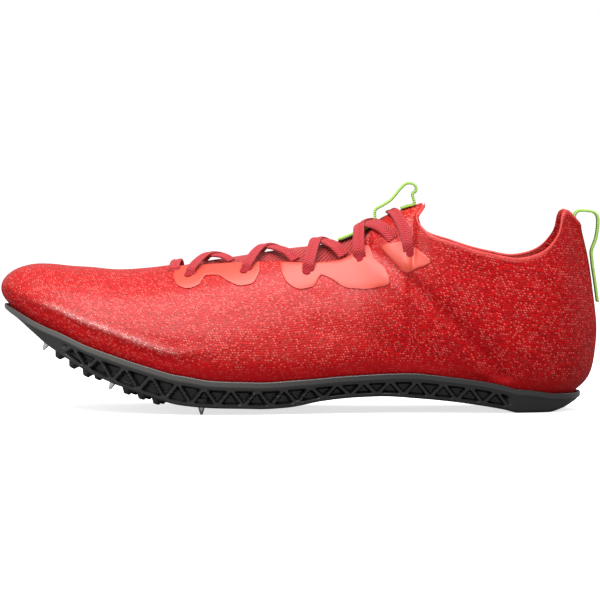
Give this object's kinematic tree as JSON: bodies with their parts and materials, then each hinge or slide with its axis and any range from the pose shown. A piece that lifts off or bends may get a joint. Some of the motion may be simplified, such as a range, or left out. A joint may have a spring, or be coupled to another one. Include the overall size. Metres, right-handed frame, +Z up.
{
  "type": "track spike shoe",
  "caption": "Low knit running shoe for the left foot with a moulded spike plate, laced throat, raised heel tab and webbing pull loops.",
  "frame": {"origin": "centre of the flat face under the heel that the shoe rests on", "axes": "+X from the toe to the heel along the shoe, +Y to the medial side, +Z up"},
  "size_m": [0.2868, 0.0907, 0.1088],
  "materials": {
    "knit": "fine red knit",
    "plate": "dark grey moulding, half gloss",
    "spike": "plain turned steel",
    "insole": "dark grey cloth on foam",
    "rib": "coarse red rib knit",
    "film": "smooth coral film",
    "lace": "flat woven red lace",
    "webbing": "lime woven webbing"
  },
  "bodies": {
    "root": {"upper": "knit", "spike_plate": "plate", "spike_lateral_front": "spike", "spike_medial_front": "spike", "spike_lateral_middle": "spike", "spike_medial_middle": "spike", "spike_lateral_rear": "spike", "spike_medial_rear": "spike", "insole": "insole", "tongue": "rib", "eyestay_front_lateral": "film", "eyestay_middle_lateral": "film", "eyestay_top_lateral": "film", "eyestay_front_medial": "film", "eyestay_middle_medial": "film", "eyestay_top_medial": "film", "lace_crossing_1": "lace", "lace_crossing_2": "lace", "lace_crossing_3": "lace", "lace_crossing_4": "lace", "lace_bar_front": "lace", "lace_bar_top": "lace", "tongue_loop": "webbing", "heel_loop": "webbing"}
  },
  "joints": []
}
